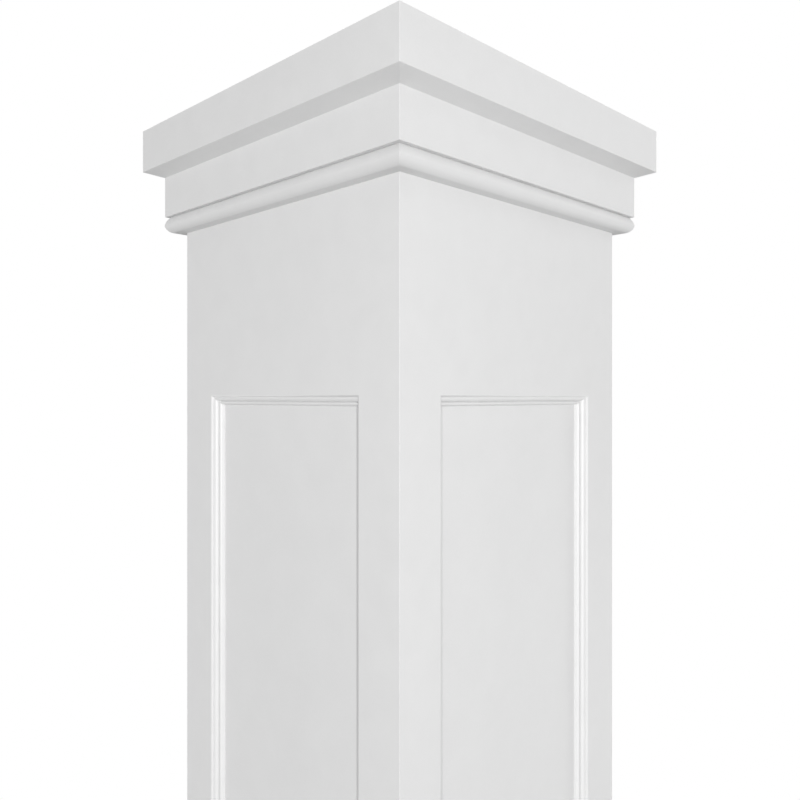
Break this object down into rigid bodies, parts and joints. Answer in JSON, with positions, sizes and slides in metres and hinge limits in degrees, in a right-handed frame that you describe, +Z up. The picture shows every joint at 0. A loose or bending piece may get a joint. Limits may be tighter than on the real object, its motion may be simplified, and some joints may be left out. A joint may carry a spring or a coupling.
{
  "type": "square pvc column",
  "caption": "Square hollow PVC column with a recessed moulded panel on each side, a banded capital with a rounded bead, and a plain base.",
  "frame": {"origin": "centre of the column's underside", "axes": "+Z up along the shaft; the front side faces -Y and the right side faces +X"},
  "size_m": [0.3682, 0.3682, 2.4384],
  "materials": {
    "pvc_sheet": "satin white cellular PVC sheet, smooth as calendered",
    "pvc_panel": "satin white cellular PVC sheet, smooth as calendered",
    "pvc_moulding": "satin white extruded cellular PVC moulding",
    "pvc_trim": "satin white cellular PVC trim board"
  },
  "bodies": {
    "root": {"side_frame_front": "pvc_sheet", "panel_front": "pvc_panel", "panel_moulding_front_top": "pvc_moulding", "panel_moulding_front_right": "pvc_moulding", "panel_moulding_front_bottom": "pvc_moulding", "panel_moulding_front_left": "pvc_moulding", "cap_top_band_front": "pvc_trim", "cap_neck_band_front": "pvc_trim", "neck_bead_front": "pvc_trim", "base_bead_front": "pvc_trim", "base_band_front": "pvc_trim", "base_plinth_front": "pvc_trim", "side_frame_right": "pvc_sheet", "panel_right": "pvc_panel", "panel_moulding_right_top": "pvc_moulding", "panel_moulding_right_right": "pvc_moulding", "panel_moulding_right_bottom": "pvc_moulding", "panel_moulding_right_left": "pvc_moulding", "cap_top_band_right": "pvc_trim", "cap_neck_band_right": "pvc_trim", "neck_bead_right": "pvc_trim", "base_bead_right": "pvc_trim", "base_band_right": "pvc_trim", "base_plinth_right": "pvc_trim", "side_frame_back": "pvc_sheet", "panel_back": "pvc_panel", "panel_moulding_back_top": "pvc_moulding", "panel_moulding_back_right": "pvc_moulding", "panel_moulding_back_bottom": "pvc_moulding", "panel_moulding_back_left": "pvc_moulding", "cap_top_band_back": "pvc_trim", "cap_neck_band_back": "pvc_trim", "neck_bead_back": "pvc_trim", "base_bead_back": "pvc_trim", "base_band_back": "pvc_trim", "base_plinth_back": "pvc_trim", "side_frame_left": "pvc_sheet", "panel_left": "pvc_panel", "panel_moulding_left_top": "pvc_moulding", "panel_moulding_left_right": "pvc_moulding", "panel_moulding_left_bottom": "pvc_moulding", "panel_moulding_left_left": "pvc_moulding", "cap_top_band_left": "pvc_trim", "cap_neck_band_left": "pvc_trim", "neck_bead_left": "pvc_trim", "base_bead_left": "pvc_trim", "base_band_left": "pvc_trim", "base_plinth_left": "pvc_trim"}
  },
  "joints": []
}
